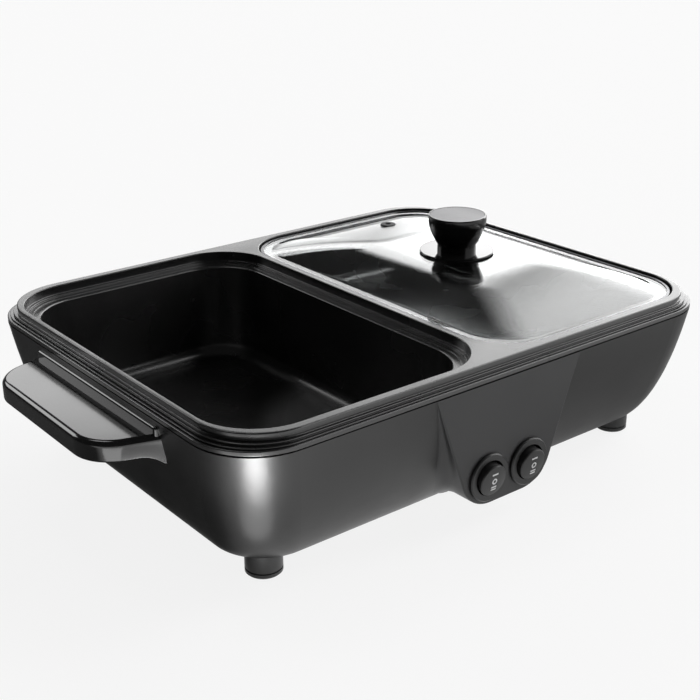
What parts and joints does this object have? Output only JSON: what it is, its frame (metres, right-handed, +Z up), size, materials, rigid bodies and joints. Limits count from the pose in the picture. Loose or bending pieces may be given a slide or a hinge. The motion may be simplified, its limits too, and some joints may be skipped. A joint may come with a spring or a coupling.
{
  "type": "electric hot pot with lid",
  "caption": "Tabletop electric hot pot: a cast tray with an open pot basin beside a shallow pan under a loose glass lid, on a painted casing with end handles and round rocker switches.",
  "frame": {"origin": "on the table plane under the middle of the body, between the feet", "axes": "+X towards the pan with the lid, along the length; +Y to the back, where the power inlet is; +Z up"},
  "size_m": [0.3432, 0.2339, 0.1066],
  "materials": {
    "tray_coating": "cast, with a satin black non-stick coating",
    "casing_paint": "satin black paint",
    "pod_plastic": "fine satin dark grey",
    "handle_plastic": "gloss black",
    "gasket_rubber": "matte black",
    "foot_rubber": "matte black",
    "cover_metal": "matte black",
    "switch_plastic": "black with white marks",
    "contact_brass": "bare",
    "screw_steel": "zinc plated",
    "heater_steel": "oxidised tube",
    "bar_steel": "bare",
    "thermostat_body": "dark moulding",
    "fuse_metal": "bare",
    "shield_metal": "bare",
    "inlet_plastic": "black",
    "block_plastic": "cream",
    "wire_sleeve": "heat-proof sleeve",
    "lid_glass": "clear, tempered",
    "rim_steel": "polished edge",
    "knob_plastic": "gloss black",
    "cap_aluminium": "brushed",
    "disc_gloss": "gloss black",
    "seal_rubber": "matte black"
  },
  "bodies": {
    "cooker": {"cooking_tray": "tray_coating", "tray_gasket": "gasket_rubber", "casing": "casing_paint", "bottom_cover": "cover_metal", "control_pod": "pod_plastic", "left_handle": "handle_plastic", "right_handle": "handle_plastic", "handle_screws": "screw_steel", "foot_screws": "screw_steel", "cover_screws": "screw_steel", "tie_screws": "screw_steel", "pod_screws": "screw_steel", "bar_screws": "screw_steel", "thermostat_screws": "screw_steel", "shield_screws": "screw_steel", "heat_shield": "shield_metal", "inlet_pod": "inlet_plastic", "power_inlet": "inlet_plastic", "inlet_pins": "contact_brass", "inlet_screws": "screw_steel", "wiring": "wire_sleeve", "terminal_block": "block_plastic", "terminal_block_screw": "screw_steel", "foot_front_left": "foot_rubber", "foot_front_right": "foot_rubber", "foot_back_left": "foot_rubber", "foot_back_right": "foot_rubber", "left_switch_body": "switch_plastic", "right_switch_body": "switch_plastic", "left_switch_blades": "contact_brass", "right_switch_blades": "contact_brass", "pot_heater": "heater_steel", "pan_heater": "heater_steel", "pot_heater_pins": "screw_steel", "pan_heater_pins": "screw_steel", "pot_pressure_bars": "bar_steel", "pan_pressure_bars": "bar_steel", "pot_thermostat": "thermostat_body", "pan_thermostat": "thermostat_body", "pot_thermal_fuse": "fuse_metal", "pan_thermal_fuse": "fuse_metal"},
    "lid": {"lid_glass": "lid_glass", "lid_rim": "rim_steel", "vent_grommet": "seal_rubber", "knob_seal": "seal_rubber", "knob_disc": "disc_gloss", "lid_knob": "knob_plastic", "knob_cap": "cap_aluminium", "lid_washer": "screw_steel", "lid_screw": "screw_steel"},
    "left_switch_rocker": {"left_rocker": "switch_plastic"},
    "right_switch_rocker": {"right_rocker": "switch_plastic"}
  },
  "joints": [
    {"name": "lid_lift", "type": "slide", "parent": "cooker", "child": "lid", "axis": [0, 0, 1], "range_m": [0, 0.08]},
    {"name": "left_rocker_tilt", "type": "hinge", "parent": "cooker", "child": "left_switch_rocker", "pos_m": [-0.0125, -0.1114, 0.025], "axis": [-1, 0, 0], "range_deg": [0, 16]},
    {"name": "right_rocker_tilt", "type": "hinge", "parent": "cooker", "child": "right_switch_rocker", "pos_m": [0.0125, -0.1114, 0.025], "axis": [-1, 0, 0], "range_deg": [0, 16]}
  ]
}
